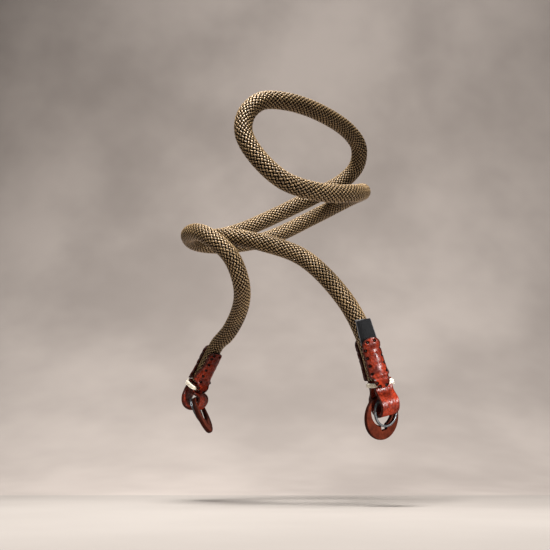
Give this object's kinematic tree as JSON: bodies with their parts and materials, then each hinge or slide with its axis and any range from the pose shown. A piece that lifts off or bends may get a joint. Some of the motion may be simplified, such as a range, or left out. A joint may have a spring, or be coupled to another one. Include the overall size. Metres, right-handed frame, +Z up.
{
  "type": "rope camera strap",
  "caption": "Braided rope camera strap standing in open loops, each end sewn into a leather fitting with a thread binding, a split ring and a round leather guard.",
  "frame": {"origin": "midway between the eyes of the two split rings, where what the strap carries would be", "axes": "+Z up, +X from the left ring to the right one, -Y towards the front"},
  "size_m": [0.1564, 0.1273, 0.2006],
  "materials": {
    "rope": "olive tan braid, matt",
    "leather": "red-brown, waxed, glossy",
    "guard_leather": "orange-brown, smooth",
    "thread": "cream waxed thread",
    "steel": "polished grey steel",
    "label": "black, matt"
  },
  "bodies": {
    "root": {"rope": "rope", "label_tab": "label", "left_loop": "leather", "left_binding": "thread", "left_guard": "guard_leather", "left_split_ring": "steel", "left_cover_outer": "leather", "left_cover_inner": "leather", "right_loop": "leather", "right_binding": "thread", "right_guard": "guard_leather", "right_split_ring": "steel", "right_cover_outer": "leather", "right_cover_inner": "leather"}
  },
  "joints": []
}
